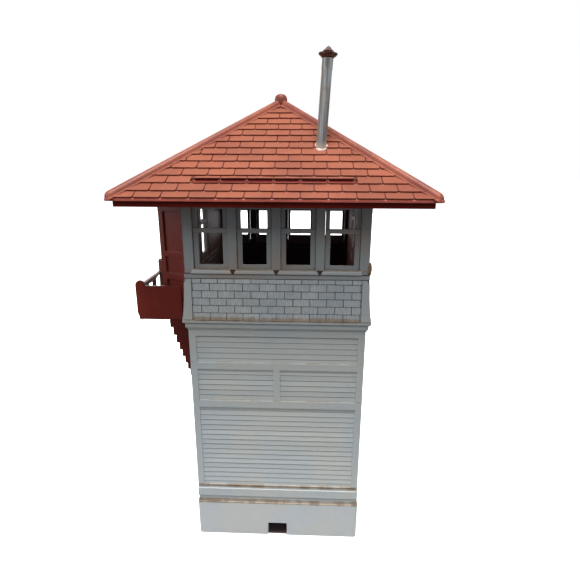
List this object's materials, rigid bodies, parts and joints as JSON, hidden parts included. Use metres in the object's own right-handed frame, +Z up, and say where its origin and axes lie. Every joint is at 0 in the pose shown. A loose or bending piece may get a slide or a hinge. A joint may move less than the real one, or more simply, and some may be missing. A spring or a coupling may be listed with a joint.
{
  "type": "model railway signal tower",
  "caption": "Two-storey model railway signal tower with a lift-off hipped roof, windows on every side, an outside stair and landing, and a hinged door.",
  "frame": {"origin": "middle of the underside of the whole object's bounding box", "axes": "+Z up from the plinth's underside to the smoke pipe; the front with the wire notch faces -Y; the landing, the door and the stairs are on the -X side"},
  "size_m": [0.0782, 0.0858, 0.1433],
  "materials": {
    "walls": "moulded grey plastic, dusty on the ledges",
    "shingled_skirt": "moulded grey plastic with a fine wood grain",
    "roof_tiles": "moulded terracotta plastic, slightly glossy",
    "ridge_tiles": "moulded red-brown plastic, worn shiny",
    "eave_trim": "moulded dark maroon plastic",
    "stairs_and_door": "moulded brown plastic",
    "smoke_pipe": "moulded blue-grey plastic with streaks",
    "smoke_pipe_cap": "moulded dark brown plastic"
  },
  "bodies": {
    "tower": {"belt_cornice": "walls", "door_frame": "walls", "foundation": "walls", "front_sill_belt": "walls", "front_skirt": "shingled_skirt", "front_wall": "walls", "front_window_1": "walls", "front_window_2": "walls", "front_window_3": "walls", "front_window_4": "walls", "front_window_frame": "walls", "landing_apron": "stairs_and_door", "landing_deck": "stairs_and_door", "landing_newel": "stairs_and_door", "landing_side_rail": "stairs_and_door", "left_sill_belt": "walls", "left_skirt": "shingled_skirt", "left_skirt_corner": "shingled_skirt", "left_wall": "walls", "left_window": "walls", "left_window_frame": "walls", "operator_floor": "stairs_and_door", "rear_sill_belt": "walls", "rear_skirt": "shingled_skirt", "rear_wall": "walls", "rear_window_1": "walls", "rear_window_2": "walls", "rear_window_3": "walls", "rear_window_4": "walls", "rear_window_frame": "walls", "right_sill_belt": "walls", "right_skirt": "shingled_skirt", "right_wall": "walls", "right_window_1": "walls", "right_window_2": "walls", "right_window_3": "walls", "right_window_frame": "walls", "stair_flight": "stairs_and_door", "stair_handrail": "stairs_and_door"},
    "roof": {"hip_cap_front_left": "ridge_tiles", "hip_cap_front_right": "ridge_tiles", "hip_cap_rear_left": "ridge_tiles", "hip_cap_rear_right": "ridge_tiles", "roof_fascia": "eave_trim", "roof_finial": "ridge_tiles", "roof_shell": "roof_tiles", "roof_soffit": "eave_trim", "smoke_pipe": "smoke_pipe", "smoke_pipe_cap": "smoke_pipe_cap"},
    "door": {"door_leaf": "stairs_and_door"}
  },
  "joints": [
    {"name": "roof_lift", "type": "slide", "parent": "tower", "child": "roof", "axis": [0, 0, 1], "range_m": [0, 0.04]},
    {"name": "door_hinge", "type": "hinge", "parent": "tower", "child": "door", "pos_m": [-0.025, -0.02619, 0.0893], "axis": [0, 0, 1], "range_deg": [-65, 25]}
  ]
}
